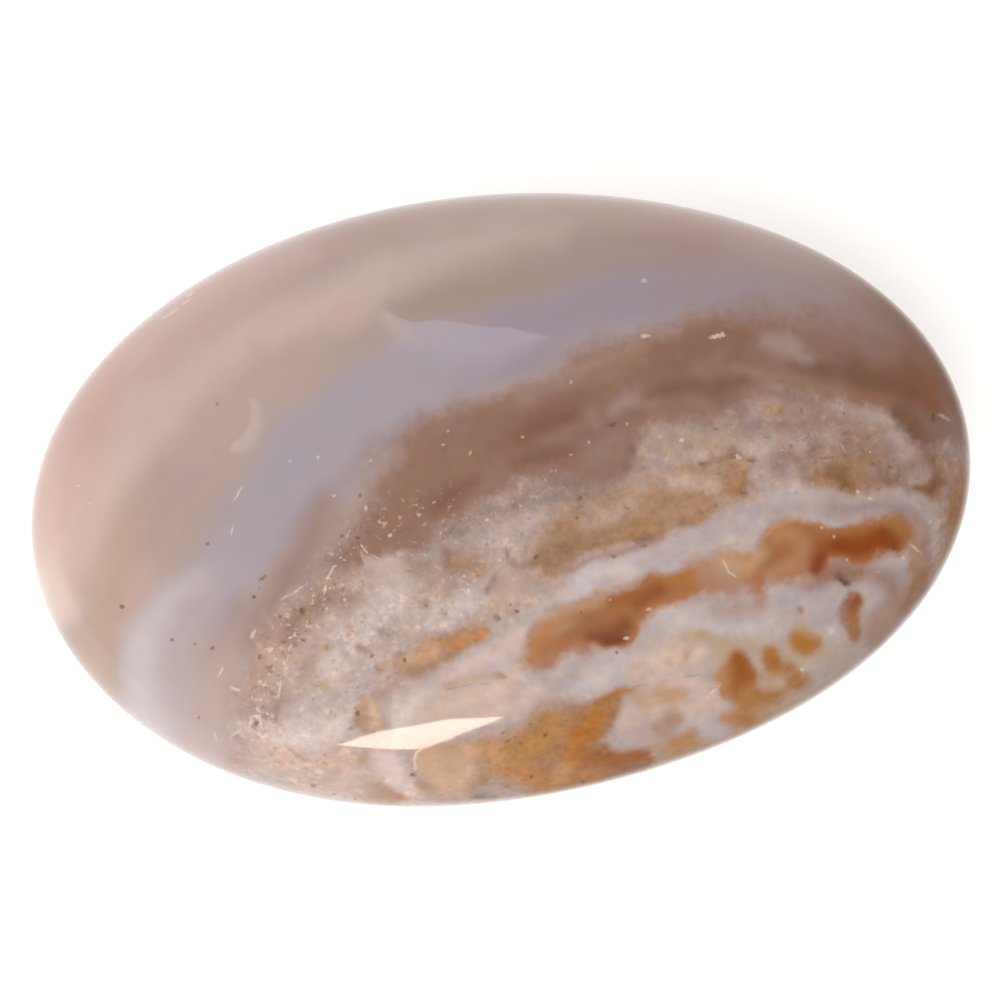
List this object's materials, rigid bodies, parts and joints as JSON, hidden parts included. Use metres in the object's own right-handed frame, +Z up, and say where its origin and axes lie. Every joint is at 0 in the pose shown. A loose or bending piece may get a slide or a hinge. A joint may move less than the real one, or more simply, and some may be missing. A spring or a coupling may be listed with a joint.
{
  "type": "agate palm stone",
  "caption": "Thick oval pebble of banded agate, ground smooth and polished all over, made to be held in the hand or laid on a table or shelf.",
  "frame": {"origin": "on the level rest facet under the belly, below the middle of the stone", "axes": "+X along the long axis of the oval, towards its slightly more pointed end; +Y across the oval; +Z up through the thickness, from the rest facet to the crown"},
  "size_m": [0.066, 0.0423, 0.024],
  "materials": {
    "polished_agate": "polished, slightly translucent, banded in pink, tan, lavender, brown, white and amber"
  },
  "bodies": {
    "root": {"agate_palm_stone": "polished_agate"}
  },
  "joints": []
}
